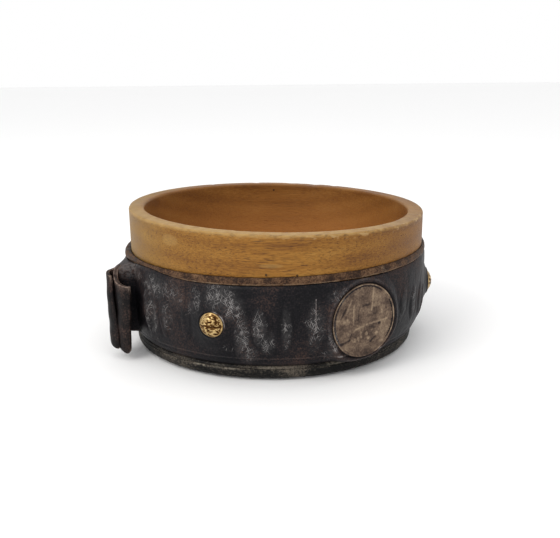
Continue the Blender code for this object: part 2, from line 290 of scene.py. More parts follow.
def maths(tree, operation, first, second=0.5, third=0.5, clamp=False):
    made = add_node(tree, "Math", {0: first, 1: second, 2: third}, operation=operation)
    made.use_clamp = clamp
    return made.outputs[0]


def times(tree, first, second, clamp=False):
    return maths(tree, "MULTIPLY", first, second, clamp=clamp)


def stretched_noise(tree, place, scale, detail):
    """Noise at a point, from 0 to 1. Scale is (x, y, z) in cycles to the metre."""
    drawn = add_node(tree, "Mapping", {"Vector": place, "Scale": scale}).outputs[0]
    return even_noise(tree, drawn, 1.0, detail)


def even_noise(tree, place, scale, detail):
    """Noise at a point, from 0 to 1, as fine one way as another. Scale is in cycles to the metre."""
    made = add_node(tree, "TexNoise", {"Vector": place, "Scale": scale, "Detail": detail})
    return made.outputs[0]


def fade(tree, value, start, stop, low=0.0, high=1.0):
    """Low where the value is start, high where it is stop, and a straight fade between the two."""
    return add_node(tree, "MapRange", {0: value, 1: start, 2: stop, 3: low, 4: high}).outputs[0]


def finish_surface(tree, shader, colour, roughness, height, strength, distance):
    """Gives a surface its colour, its roughness and the fine relief of a height."""
    tree.links.new(colour, shader.inputs["Base Color"])
    tree.links.new(roughness, shader.inputs["Roughness"])
    bump = add_node(tree, "Bump", {"Height": height, "Strength": strength, "Distance": distance})
    tree.links.new(bump.outputs[0], shader.inputs["Normal"])


wood, tree, shader = new_material("turned_wood", 0.5, Specular_IOR_Level=0.22)
place = add_node(tree, "TexCoord").outputs["Object"]
along = add_node(tree, "SeparateXYZ", {0: place}).outputs
flat_place = add_node(tree, "VectorMath", {0: place, 1: (1.0, 1.0, 0.0)}, operation="MULTIPLY").outputs[0]
from_middle = add_node(tree, "VectorMath", {0: flat_place}, operation="LENGTH").outputs["Value"]

# The grain: dark pores and flecks, streaks, growth rings and fibres
pores = ramp(tree, stretched_noise(tree, place, (150.0, 1700.0, 2600.0), 2.0), [(0.60, 0.0), (0.70, 1.0)])
flecks = ramp(tree, stretched_noise(tree, place, (520.0, 3000.0, 4200.0), 2.0), [(0.52, 0.0), (0.66, 1.0)])
pore_mask = maths(tree, "MAXIMUM", pores, times(tree, flecks, 0.6))
streaks = stretched_noise(tree, place, (18.0, 260.0, 520.0), 5.0)
clouds = stretched_noise(tree, place, (40.0, 55.0, 75.0), 3.0)
rings_at = add_node(tree, "Mapping", {
    "Vector": place, "Location": (0.0, 0.03, 0.10), "Scale": (0.30, 1.0, 1.0),
}).outputs[0]
rings = add_node(tree, "TexWave", {
    "Vector": rings_at, "Scale": 46.0, "Distortion": 2.2, "Detail": 2.0, "Detail Scale": 0.6,
}, wave_type="RINGS", rings_direction="X").outputs[0]
fibre = stretched_noise(tree, place, (90.0, 1500.0, 2400.0), 3.0)
tone = maths(tree, "MULTIPLY_ADD", fibre, 0.55, maths(tree, "MULTIPLY_ADD", clouds, 0.45, -0.12))
tone = maths(tree, "MULTIPLY_ADD", streaks, 0.20, tone)
tone = maths(tree, "MULTIPLY_ADD", rings, 0.13, tone)
colour = ramp(tree, tone, [
    (0.28, srgb(96, 58, 19)), (0.46, srgb(127, 83, 27)),
    (0.60, srgb(142, 97, 36)), (0.80, srgb(158, 115, 52)),
])

# Painted shade darkens the right and the left; sappy wood at the far left; a redder inside, paled downwards
# by painted light
inside = fade(tree, from_middle, 0.0540, 0.0520)
outer = maths(tree, "SUBTRACT", 1.0, inside)
# Painted shade: the wood is darker towards the right, most of all on the outside
painted_shade_right = fade(tree, along["X"], 0.010, 0.056)
painted_shade_right = times(tree, painted_shade_right, maths(tree, "MULTIPLY_ADD", outer, 0.65, 0.10))
colour = mix(tree, painted_shade_right, colour, (0.70, 0.68, 0.76), "MULTIPLY")
# Painted shade: the outer wood is darker towards the left
painted_shade_left = times(tree, fade(tree, along["X"], -0.010, -0.040), outer)
colour = mix(tree, painted_shade_left, colour, (0.86, 0.89, 0.90), "MULTIPLY")
sappy = times(tree, fade(tree, along["X"], -0.036, -0.057), outer)
colour = mix(tree, times(tree, sappy, 0.45), colour, srgb(136, 114, 58))
colour = mix(tree, inside, colour, (0.78, 0.72, 0.80), "MULTIPLY")
# Painted light: the inside is paler towards the bottom
painted_light_low_inside = times(tree, fade(tree, along["Z"], 0.050, 0.026), 0.80)
colour = mix(tree, times(tree, inside, painted_light_low_inside), colour, srgb(184, 128, 70))
pore_depth = times(tree, pore_mask, maths(tree, "MULTIPLY_ADD", outer, 0.55, 0.25))
colour = mix(tree, pore_depth, colour, srgb(62, 30, 8))

# Rubbed patches and pinholes
for x, y, z, width, tall in SCUFFS_ON_WOOD:
    away = add_node(tree, "Mapping", {
        "Vector": place, "Location": (-x / width, -y / width, -z / tall),
        "Scale": (1 / width, 1 / width, 1 / tall),
    }).outputs[0]
    reach = add_node(tree, "VectorMath", {0: away}, operation="LENGTH").outputs["Value"]
    scuff = ramp(tree, maths(tree, "MULTIPLY_ADD", clouds, -0.5, maths(tree, "ADD", reach, 0.25)),
                 [(0.30, 0.26), (0.80, 0.20), (1.05, 0.0)])
    colour = mix(tree, scuff, colour, srgb(170, 140, 84))
for pinhole in PINHOLES:
    reach = add_node(tree, "VectorMath", {0: place, 1: pinhole}, operation="DISTANCE").outputs["Value"]
    hole = maths(tree, "LESS_THAN", reach, PINHOLE_R)
    colour = mix(tree, times(tree, hole, 0.85), colour, srgb(30, 16, 6))

# The rim: rubbed pale by hands, with painted light keeping it pale in front only and less so at the right;
# chipped along its outer edge, mostly at the right
rim_level = maths(tree, "MULTIPLY_ADD", along["X"], -RIM_SLOPE, along["Z"])
rim_wear_and_painted_light = fade(tree, rim_level, RIM_Z - 0.0012, RIM_Z - 0.0002)
worn_noise = stretched_noise(tree, place, (420.0, 420.0, 420.0), 3.0)
rim_wear_and_painted_light = times(tree, rim_wear_and_painted_light, ramp(tree, worn_noise, [(0.30, 0.45), (0.60, 0.95)]))
# Painted light: the rim's paleness is kept to the front and weakened at the right
rim_wear_and_painted_light = times(tree, rim_wear_and_painted_light, fade(tree, along["Y"], 0.025, -0.045))
rim_wear_and_painted_light = times(tree, rim_wear_and_painted_light, maths(tree, "MULTIPLY_ADD", painted_shade_right, -0.45, 1.0))
colour = mix(tree, rim_wear_and_painted_light, colour, srgb(166, 134, 82))
chipped = stretched_noise(tree, place, (380.0, 380.0, 900.0), 5.0)
by_edge = fade(tree, from_middle, 0.0558, 0.0564)
under_edge = fade(tree, rim_level, RIM_Z - 0.0024, RIM_Z - 0.0008)
chip_side = fade(tree, along["X"], -0.030, 0.020, 0.25)
edge_band = times(tree, times(tree, by_edge, under_edge), chip_side)
for stops, chip_colour in (
    ([(0.54, 0.0), (0.66, 0.60)], srgb(84, 58, 32)), ([(0.34, 0.5), (0.44, 0.0)], srgb(186, 156, 108)),
):
    chips = times(tree, ramp(tree, chipped, stops), edge_band)
    colour = mix(tree, chips, colour, chip_colour)
relief = maths(tree, "MULTIPLY_ADD", pore_mask, -0.6, streaks)
finish_surface(tree, shader, colour, ramp(tree, tone, [(0.3, 0.44), (0.8, 0.60)]), relief, 0.35, 0.0003)

wood_bowl = add_piece("turned_cup", bowl_mesh, wood)
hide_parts("wood_bowl")
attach(wood_bowl, "cup")

# ---------------------------------------------------------------- leather_sleeve
# A strip of thick black leather, moulded wet round the cup: it rises round the coins, stands up in bumps over
# the nail pads, carries tooled lens-shaped bosses, and runs out like a tent into the lug at the left.

SLEEVE_TOP_Z = 0.0350
SLEEVE_FOOT_Z = 0.0057
SLEEVE_R = 0.0580
EDGE_SLOPE = 0.013
LEATHER_T = 0.0012
COIN_R = 0.0130
WINDOW_LAP = 0.0010
COIN_FACE_R = 0.0589
COIN_Z = 0.0204
COIN_AZIMUTHS = {"coin_front": 30.7, "coin_rear": 150.0}
NAIL_SEAT_R = 0.0602
NAIL_HEAD_R = 0.0043
NAILS = {"brass_nail_1": (-21.3, 0.0213), "brass_nail_2": (91.0, 0.0201), "brass_nail_3": (210.0, 0.0213)}
NAIL_BUMP_R = 0.0595
LUG_AZIMUTH = -67.5
TENT_REACH = 0.0062
RIM_PULL = 0.0013
# A line tooled round the foot of the sleeve, and a short cut above an eyelet to the left of the front coin
TOOLED_LINE_Z = 0.0084
CUT_AZIMUTH = 13.6
CUT_LOW_Z = 0.0185
CUT_HIGH_Z = 0.0295
EYELET_Z = 0.0172

# Tooled bosses: azimuth, height of the middle, half width in degrees, half height, rise
BOSSES = [
    (-53.3, 0.0205, 2.6, 0.0085, 0.00095), (-43.0, 0.0205, 3.0, 0.0090, 0.00090),
    (-32.5, 0.0200, 2.4, 0.0080, 0.00025), (-12.6, 0.0180, 2.2, 0.0095, 0.00045),
    (-5.6, 0.0205, 3.2, 0.0075, 0.00100), (3.6, 0.0200, 2.2, 0.0080, 0.00075),
    (51.5, 0.0230, 2.4, 0.0060, 0.00025), (59.5, 0.0200, 2.6, 0.0075, 0.00035),
    (68.0, 0.0195, 2.6, 0.0080, 0.00035), (75.0, 0.0170, 2.4, 0.0080, 0.00035),
    (103.0, 0.0205, 3.0, 0.0080, 0.00060), (112.0, 0.0205, 3.0, 0.0085, 0.00070),
    (121.0, 0.0205, 2.8, 0.0085, 0.00060), (175.0, 0.0205, 2.8, 0.0080, 0.00060),
    (184.0, 0.0205, 3.0, 0.0085, 0.00070), (194.0, 0.0205, 2.6, 0.0080, 0.00050),
    (222.0, 0.0205, 3.0, 0.0085, 0.00065), (233.0, 0.0205, 3.0, 0.0085, 0.00070),
    (244.0, 0.0205, 2.8, 0.0080, 0.00060), (255.0, 0.0205, 2.8, 0.0080, 0.00060),
]

# Patches of fine scratches: azimuth, height, half width in degrees, half height, strength
SCUFFS = [
    (-48.0, 0.0300, 8.0, 0.0040, 0.7), (-41.0, 0.0210, 2.0, 0.0060, 0.6), (-50.0, 0.0190, 2.5, 0.0080, 0.7),
    (-53.0, 0.0190, 1.2, 0.0090, 0.6), (-28.5, 0.0280, 3.0, 0.0050, 0.5), (-19.0, 0.0310, 6.0, 0.0040, 1.0),
    (-14.5, 0.0275, 3.5, 0.0045, 0.9), (-11.5, 0.0170, 2.2, 0.0075, 1.0), (-9.0, 0.0105, 3.0, 0.0035, 0.5),
    (-5.6, 0.0200, 2.6, 0.0060, 0.9), (-3.0, 0.0150, 2.5, 0.0040, 0.6), (3.2, 0.0200, 1.6, 0.0070, 0.7),
    (13.0, 0.0200, 2.8, 0.0085, 0.7), (19.0, 0.0150, 2.2, 0.0080, 0.6), (21.0, 0.0300, 4.0, 0.0030, 0.4),
    (-38.0, 0.0290, 5.0, 0.0050, 0.35), (52.0, 0.0200, 2.5, 0.0070, 0.2), (61.0, 0.0200, 3.0, 0.0070, 0.3),
    (71.0, 0.0200, 3.0, 0.0070, 0.2), (101.0, 0.0210, 3.0, 0.0070, 0.6), (112.0, 0.0230, 4.0, 0.0080, 0.7),
    (124.0, 0.0260, 5.0, 0.0050, 0.5), (176.0, 0.0210, 3.0, 0.0070, 0.7), (185.0, 0.0200, 3.0, 0.0080, 0.8),
    (197.0, 0.0270, 5.0, 0.0050, 0.7), (223.0, 0.0210, 3.0, 0.0080, 0.6), (234.0, 0.0200, 3.0, 0.0080, 0.8),
    (246.0, 0.0280, 6.0, 0.0040, 0.6),
]


def hump(away, width):
    """From 1 where away is 0, down to almost 0 at twice the width."""
    return np.exp(-(away / width) ** 2)


def turn_between(azimuths, centre):
    """Degrees from centre, between -180 and 180."""
    return (azimuths - centre + 180.0) % 360.0 - 180.0


def sleeve_top(azimuths):
    """Height of the sleeve's top edge: it tilts to the right and climbs towards the lug."""
    climb = 0.0015 * hump(turn_between(azimuths, -52.0), 13.0)
    return SLEEVE_TOP_Z + EDGE_SLOPE * SLEEVE_R * np.sin(np.radians(azimuths)) + climb


def sleeve_radius(azimuths, heights):
    """The sleeve's outer face, and how far a spot stands proud of its surroundings and is rubbed pale, with a
    painted highlight at the upper right of each nail.
    """
    out = np.interp(
        heights, [0.0057, 0.0070, 0.0086, 0.0105, 0.0125, 0.0150, 0.0180, 0.0260, 0.0320, 0.0350, 0.0380],
        [0.0550, 0.0557, 0.0564, 0.0570, 0.0575, 0.0578, 0.0580, 0.0583, 0.0582, 0.0580, 0.0580],
    )
    proud_and_highlight = np.zeros_like(out)
    for azimuth, middle, half_width, half_height, rise in BOSSES:
        across = turn_between(azimuths, azimuth) / half_width
        up = (heights - middle) / half_height
        lens = np.clip(1 - up ** 2, 0, 1)
        body = np.clip(lens - across ** 2, 0, 1)
        groove = hump(np.abs(across) - 1.15 * np.sqrt(lens + 1e-9), 0.22) * (lens > 0)
        out += rise * (smoothstep(body, 0.0, 0.75) - 0.50 * groove * lens)
    for azimuth in COIN_AZIMUTHS.values():
        turn = np.radians(turn_between(azimuths, azimuth))
        near = np.abs(turn) < 0.6
        sideways = COIN_FACE_R * np.tan(np.where(near, turn, 0.6))
        distance = np.hypot(sideways, heights - COIN_Z)
        level = (COIN_FACE_R - 0.0001) / np.cos(np.where(near, turn, 0.6))
        lip = (1 - smoothstep(distance, COIN_R + 0.0010, COIN_R + 0.0052)) * near
        out = np.where(near, out + lip * np.clip(level - out, 0, 1), out)
        ditch = hump(distance - COIN_R - 0.0001, 0.00035) * near
        out -= 0.0008 * ditch
        proud_and_highlight += 0.45 * hump(distance - COIN_R - 0.0016, 0.0012) * near
    for azimuth, nail_z in NAILS.values():
        turn = np.radians(turn_between(azimuths, azimuth))
        distance = np.hypot(NAIL_BUMP_R * turn, heights - nail_z)
        bump = np.clip(1 - (distance - NAIL_HEAD_R - 0.0002) / 0.0072, 0, 1) ** 1.5
        out += bump * np.clip(NAIL_SEAT_R - out, 0, 1)
        out += 0.0004 * hump(distance - NAIL_HEAD_R - 0.0006, 0.0005)
        away = np.arctan2(heights - nail_z, NAIL_BUMP_R * turn)
        # Painted highlight: a pale arc on the leather at the upper right of each nail head
        highlight_upper_right = np.clip(np.cos(away - 0.7), 0, 1) ** 2
        proud_and_highlight += 1.5 * highlight_upper_right * hump(distance - NAIL_HEAD_R - 0.0003, 0.00028)
    out -= 0.00022 * hump(heights - TOOLED_LINE_Z, 0.00032)
    proud_and_highlight += 0.5 * hump(heights - TOOLED_LINE_Z - 0.0005, 0.00030)
    above = heights > CUT_LOW_Z
    cut = hump(turn_between(azimuths, CUT_AZIMUTH), 0.28) * above * (heights < CUT_HIGH_Z)
    out -= 0.00045 * cut
    lip = hump(turn_between(azimuths, CUT_AZIMUTH - 0.5), 0.22) * above * (heights < CUT_HIGH_Z + 0.0005)
    proud_and_highlight += 1.05 * lip
    eyelet = np.hypot(0.0583 * np.radians(turn_between(azimuths, CUT_AZIMUTH)), heights - EYELET_Z)
    out -= 0.0009 * hump(eyelet, 0.0006)
    return out, proud_and_highlight


def pulled_rim(azimuths):
    """How far the pull of the lug lifts the leather's top edge off the wood, behind the lug."""
    turn = turn_between(azimuths, LUG_AZIMUTH)
    return RIM_PULL * smoothstep(turn, -44.0, -22.0) * (1 - smoothstep(turn, -14.0, 3.0))


def tent(azimuths, heights, top):
    """The leather drawn out towards the lug: how far it stands off the sleeve."""
    turn = turn_between(azimuths, LUG_AZIMUTH)
    front = 1 - smoothstep(turn, 0.4, 4.2)
    rear = (1 - smoothstep(-turn, 0.6, 19.0)) ** 1.6
    plan = np.where(turn > 0, front, rear)
    roof = 1 - smoothstep(heights, top - 0.0022, top + 0.0004)
    under = smoothstep(heights, 0.0080, 0.0086)
    drawn_out = TENT_REACH * plan * roof * under * (np.abs(turn) < 30)
    return drawn_out + pulled_rim(azimuths) * smoothstep(heights, 0.020, 0.033)


def sleeve_columns():
    """Azimuths of the sleeve's columns of points, closer by the lug, the coins and the nails."""
    columns = []
    azimuth = -92.0
    while azimuth < 268.0 - 0.1:
        columns.append(azimuth)
        by_nail = min(abs(turn_between(azimuth, nail)) for nail, _ in NAILS.values()) < 7.0
        by_coin = min(abs(turn_between(azimuth, coin)) for coin in COIN_AZIMUTHS.values()) < 18.5
        azimuth += 0.2 if by_nail else 0.3 if by_coin or azimuth < -58.0 else 0.5
    return np.array(columns)


sleeve_azimuths = sleeve_columns()
shares = np.linspace(1.0, 0.0, 92)
tops = sleeve_top(sleeve_azimuths)
azimuth_grid, share_grid = np.meshgrid(sleeve_azimuths, shares)
height_grid = SLEEVE_FOOT_Z + share_grid * (tops[None, :] - SLEEVE_FOOT_Z)
radius_grid, proud_and_highlight_grid = sleeve_radius(azimuth_grid, height_grid)
radius_grid += tent(azimuth_grid, height_grid, tops[None, :])


def wrapped(azimuths, radii, heights):
    """Points (x, y, z) at these azimuths, radii and heights."""
    turn = np.radians(azimuths)
    return np.stack([radii * np.sin(turn), -radii * np.cos(turn), heights], axis=-1)


plain_places = wrapped(azimuth_grid, radius_grid, height_grid)
lumps = rumple(plain_places, 0.012, 3.0) * 0.00022 + rumple(plain_places, 0.0035, 7.0) * 0.00009
edge_roll = hump(tops[None, :] - height_grid, 0.0007)
foot_roll = hump(height_grid - SLEEVE_FOOT_Z, 0.0006)
radius_grid += lumps - 0.0005 * edge_roll - 0.0005 * foot_roll
sleeve_places = wrapped(azimuth_grid, radius_grid, height_grid)
lean_foot(sleeve_places)
sleeve_mesh = grid_mesh("leather_sleeve_moulded", sleeve_places, True)


def set_point_values(mesh, name, values):
    """Stores a value for each point of a mesh, for its material to read."""
    layer = mesh.attributes.new(name, "FLOAT", "POINT")
    layer.data.foreach_set("value", np.ascontiguousarray(values.reshape(-1), dtype=np.float32))


by_lug = turn_between(azimuth_grid, LUG_AZIMUTH)
browned = hump(by_lug - 3.0, 9.0) * smoothstep(height_grid, 0.022, 0.033)
browned = np.maximum(browned, 0.6 * hump(tops[None, :] - height_grid, 0.0016))
set_point_values(sleeve_mesh, "wear_and_highlight", np.maximum(proud_and_highlight_grid, 0.55 * browned))
scuffed_grid = np.zeros_like(proud_and_highlight_grid)
for azimuth, middle, half_width, half_height, strength in SCUFFS:
    reach = np.hypot(turn_between(azimuth_grid, azimuth) / half_width, (height_grid - middle) / half_height)
    scuffed_grid = np.maximum(scuffed_grid, strength * (1 - smoothstep(reach, 0.10, 1.45)))
set_point_values(sleeve_mesh, "scuffed", scuffed_grid)


def on_wall(azimuth, radius, height):
    turn = math.radians(azimuth)
    return Vector((radius * math.sin(turn), -radius * math.cos(turn), height))


# The windows that show the coins
windows = bmesh.new()
windows.from_mesh(sleeve_mesh)
hidden = []
for azimuth in COIN_AZIMUTHS.values():
    middle = on_wall(azimuth, COIN_FACE_R, COIN_Z)
    hidden += [
        face for face in windows.faces
        if (face.calc_center_median() - middle).length < COIN_R - WINDOW_LAP
    ]
bmesh.ops.delete(windows, geom=hidden, context="FACES")
bmesh.ops.reverse_faces(windows, faces=windows.faces)
windows.to_mesh(sleeve_mesh)
windows.free()


def effect_group(name, inputs, outputs):
    """An empty shader group. Inputs and outputs are (name, kind, default)."""
    group = bpy.data.node_groups.new(name, "ShaderNodeTree")
    for label, kind, default in inputs:
        socket = group.interface.new_socket(label, in_out="INPUT", socket_type=kind)
        if default is not None:
            socket.default_value = default
    for label, kind in outputs:
        group.interface.new_socket(label, in_out="OUTPUT", socket_type=kind)
    return group, group.nodes.new("NodeGroupInput").outputs, group.nodes.new("NodeGroupOutput").inputs


# Directions of the scratches: turn in radians, seed and waves to the metre
SCRATCH_BANDS = [(0.40, 0.0, 520.0), (-0.45, 3.7, 470.0), (1.05, 8.1, 560.0), (-0.95, 5.3, 620.0)]


def build_scratches():
    """Hair-fine scratches: thin wavering strokes in four directions, broken up and gathered into patches."""
    group, given, result = effect_group(
        "fine_scratches",
        [("Place", "NodeSocketVector", None), ("Patchiness", "NodeSocketFloat", 0.5),
         ("Scuffed", "NodeSocketFloat", 0.0)],
        [("Mask", "NodeSocketFloat")],
    )
    patches = stretched_noise(group, given["Place"], (140.0, 140.0, 140.0), 3.0)
    low = maths(group, "MULTIPLY_ADD", given["Patchiness"], 0.3, 0.40)
    spread = fade(group, patches, low, maths(group, "ADD", low, 0.12), 0.0, 0.50)
    tufts = stretched_noise(group, given["Place"], (420.0, 260.0, 300.0), 2.0)
    ragged = maths(group, "MULTIPLY_ADD", tufts, 5.0, -2.0)
    spread = maths(group, "MAXIMUM", spread, times(group, ragged, given["Scuffed"], clamp=True))
    total = None
    for turn, seed, pitch in SCRATCH_BANDS:
        laid = add_node(group, "Mapping", {
            "Vector": given["Place"], "Location": (seed, seed, seed), "Rotation": (0.0, 0.0, turn),
        }).outputs[0]
        wave = add_node(group, "TexWave", {
            "Vector": laid, "Scale": pitch, "Distortion": 5.0, "Detail": 1.0, "Detail Scale": 0.30,
        }, wave_type="BANDS", bands_direction="X").outputs[0]
        stroke = ramp(group, wave, [(0.90, 0.0), (0.985, 1.0)])
        laps = stretched_noise(group, laid, (1600.0, 310.0, 500.0), 1.0)
        reach = maths(group, "MULTIPLY_ADD", spread, -0.12, 0.58)
        laid_down = times(group, maths(group, "SUBTRACT", laps, reach), 14.0, clamp=True)
        stroke = times(group, stroke, laid_down)
        total = stroke if total is None else maths(group, "MAXIMUM", total, stroke)
    shown = ramp(group, spread, [(0.04, 0.0), (0.25, 0.34), (0.90, 0.66)])
    group.links.new(times(group, total, shown), result["Mask"])
    return group


def build_grain():
    """Leather grain: small closed cells with finer creases, as a height."""
    group, given, result = effect_group(
        "leather_grain",
        [("Place", "NodeSocketVector", None), ("Cells", "NodeSocketFloat", 900.0)],
        [("Height", "NodeSocketFloat")],
    )
    cells = add_node(group, "TexVoronoi", {
        "Vector": given["Place"], "Scale": given["Cells"],
    }, feature="F1").outputs[0]
    creases = even_noise(group, given["Place"], times(group, given["Cells"], 0.4), 5.0)
    group.links.new(maths(group, "MULTIPLY_ADD", cells, 0.5, creases), result["Height"])
    return group


scratches_group = build_scratches()
grain_group = build_grain()


def point_value(tree, name):
    """A value stored on the mesh's points."""
    return add_node(tree, "Attribute", attribute_name=name).outputs["Fac"]


def leather_material(name, dyes, scratch_and_highlight_colour, roughness, patchiness, wear_and_highlight_strength, clouds=70.0):
    """Leather: cloudy dye in three colours, paler where it is rubbed and where a highlight is painted, with
    scratches and a cellular grain.
    """
    material, tree, shader = new_material(name, roughness, Specular_IOR_Level=0.10)
    place = add_node(tree, "TexCoord").outputs["Object"]
    wrap = add_node(tree, "UVMap", uv_map="wrap").outputs[0]
    wear_and_highlight = point_value(tree, "wear_and_highlight")
    scuffed = point_value(tree, "scuffed")
    dye = even_noise(tree, place, clouds, 5.0)
    fine = even_noise(tree, place, 1900.0, 2.0)
    depth = maths(tree, "MULTIPLY_ADD", wear_and_highlight, 0.30, dye)
    depth = maths(tree, "ADD", depth, maths(tree, "MULTIPLY_ADD", fine, 0.95, -0.475))
    stops = zip((0.35, 0.55, 0.90), dyes)
    colour = ramp(tree, depth, [(position, srgb(*dyed)) for position, dyed in stops])
    worn = even_noise(tree, place, 900.0, 4.0)
    # Paleness from real wear, and on the sleeve and the binding also from painted highlights
    wear_and_highlight_through = maths(tree, "MULTIPLY_ADD", wear_and_highlight, 1.6, -0.6, clamp=True)
    wear_and_highlight_mask = times(tree, wear_and_highlight_through, ramp(tree, worn, [(0.38, 0.0), (0.58, 1.0)]))
    # Partly a rubbed haze on the scuffed patches and partly a painted soft highlight on the raised bosses
    haze_and_highlight = times(tree, scuffed, ramp(tree, worn, [(0.30, 0.01), (0.75, 0.11)]))
    scratch = add_node(tree, "Group", {
        "Place": wrap, "Scuffed": scuffed, "Patchiness": patchiness,
    }, node_tree=scratches_group).outputs["Mask"]
    for mask in (times(tree, wear_and_highlight_mask, wear_and_highlight_strength), haze_and_highlight, scratch):
        colour = mix(tree, mask, colour, srgb(*scratch_and_highlight_colour))
    grain = add_node(tree, "Group", {"Place": place}, node_tree=grain_group).outputs["Height"]
    relief = maths(tree, "MULTIPLY_ADD", scratch, -0.35, grain)
    sheen = ramp(tree, dye, [(0.35, roughness - 0.10), (0.70, roughness + 0.10)])
    finish_surface(tree, shader, colour, sheen, relief, 0.65, 0.00022)
    return material


cover_leather = leather_material(
    "cover_leather", ((11, 11, 14), (25, 23, 26), (66, 50, 44)), (188, 184, 182),
    roughness=0.50, patchiness=0.75, wear_and_highlight_strength=0.45,
)


def set_flat_places(mesh, places):
    """Lays the leather flat for its scratches: (u, v) in metres for each point, as a UV layer."""
    layer = mesh.uv_layers.new(name="wrap")
    corners = np.empty(len(mesh.loops), dtype=np.int32)
    mesh.loops.foreach_get("vertex_index", corners)
    layer.data.foreach_set("uv", places[corners].astype(np.float32).reshape(-1))


def wrap_round_cup(mesh):
    set_flat_places(mesh, np.array([
        (SLEEVE_R * math.atan2(vertex.co.x, -vertex.co.y), vertex.co.z) for vertex in mesh.vertices
    ]))


wrap_round_cup(sleeve_mesh)
sleeve = add_piece("moulded_sleeve", sleeve_mesh, cover_leather)
thickness = sleeve.modifiers.new("Thickness", "SOLIDIFY")
thickness.thickness = LEATHER_T
thickness.offset = -1.0
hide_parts("leather_sleeve", "lug_root")
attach(sleeve, "cup")

# ---------------------------------------------------------------- top_binding
# A narrow strip of brown leather glued round the cup on the sleeve's top edge, pared thin towards the lug.

BINDING_TOP_Z = 0.0378
BINDING_IN_R = 0.0570


def resample_section(section, count):
    """Points along a section, count to each of its straight runs, corners kept."""
    points = [section[0]]
    for (r0, s0), (r1, s1) in zip(section, section[1:]):
        points += [(r0 + (r1 - r0) * k / count, s0 + (s1 - s0) * k / count) for k in range(1, count + 1)]
    return points


def binding_grid():
    """Rows of points round the cup, one for each point (radius, share of height) of the strip's section."""
    azimuths = np.arange(0.0, 360.0, 0.5)
    low = sleeve_top(azimuths) + 0.0001
    high = BINDING_TOP_Z + EDGE_SLOPE * SLEEVE_R * np.sin(np.radians(azimuths))
    section = [(BINDING_IN_R, 0.0), (BINDING_IN_R, 1.0), (0.0573, 1.0), (0.0577, 0.92), (0.0580, 0.70)]
    section += [(0.0581, 0.40), (0.0580, 0.14), (0.0576, 0.0), (BINDING_IN_R, 0.0)]
    rows = []
    for radius_here, share in resample_section(section, 3):
        lifted = pulled_rim(azimuths) * min(1.0, (radius_here - BINDING_IN_R) / 0.0006)
        rows.append(wrapped(azimuths, radius_here + lifted, low + share * (high - low)))
    places = np.array(rows)
    places[..., 2] += rumple(places, 0.004, 4.0) * 0.00012
    return places


binding_places = binding_grid()
binding_mesh = grid_mesh("top_binding_strip", binding_places, True)
binding_row = np.arange(len(binding_places))[:, None] + 0 * binding_places[..., 0]
ragged_edge = 1.0 + 0.9 * rumple(binding_places, 0.0022, 6.0)
# Painted highlight: a pale, ragged line along the strip's lower edge; the top and the inner face are kept
# dark
highlight_lower_edge = hump(binding_row - 19, 1.3)
set_point_values(binding_mesh, "wear_and_highlight", ragged_edge * highlight_lower_edge - 0.9 * (binding_row < 7))
wrap_round_cup(binding_mesh)
binding_leather = leather_material(
    "binding_leather", ((40, 27, 20), (78, 56, 40), (116, 90, 66)), (160, 142, 120),
    roughness=0.60, patchiness=0.65, wear_and_highlight_strength=0.55, clouds=240.0,
)
binding = add_piece("brown_binding", binding_mesh, binding_leather)
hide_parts("top_binding")
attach(binding, "cup")

# ---------------------------------------------------------------- bottom_welt
# A thin leather cord laid in the joint between sleeve and base, rubbed tan where the cup slides on tables.

WELT_Z = 0.0049
WELT_R = 0.0539
WELT_HALF_W = 0.0008
WELT_HALF_T = 0.0007
azimuths = np.arange(0.0, 360.0, 0.6)[None, :]
angles = np.radians(np.linspace(0, 360, 17))[:, None]
ripple = 0.00012 * np.sin(np.radians(azimuths) * 7) + 0.0001 * np.sin(np.radians(azimuths) * 17 + 1)
welt_radii = WELT_R + WELT_HALF_W * np.cos(angles) + ripple
welt_places = wrapped(azimuths + 0 * angles, welt_radii, WELT_Z + WELT_HALF_T * np.sin(angles) + 0 * azimuths)
lean_foot(welt_places)
welt_mesh = grid_mesh("bottom_welt_cord", welt_places, True)


def worn_in_front(places):
    """Wear of the foot, from 0 to 1: most of it in front and a little to the right."""
    azimuths = np.degrees(np.arctan2(places[..., 0], -places[..., 1]))
    return 0.15 + 0.75 * hump(turn_between(azimuths, 10.0), 32.0)


welt_patches = 0.75 + 1.2 * rumple(welt_places, 0.011, 1.0)
set_point_values(welt_mesh, "wear_and_highlight", worn_in_front(welt_places) * welt_patches)
wrap_round_cup(welt_mesh)
welt_leather = leather_material(
    "welt_leather", ((11, 11, 11), (26, 25, 24), (98, 90, 80)), (150, 142, 128),
    roughness=0.60, patchiness=0.85, wear_and_highlight_strength=0.60,
)
welt = add_piece("worn_welt", welt_mesh, welt_leather)
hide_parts("bottom_welt")
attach(welt, "cup")

# ---------------------------------------------------------------- leather_base
# A leather disc under the cup. Its edge is turned up round the foot and glued, and its corner is scuffed.

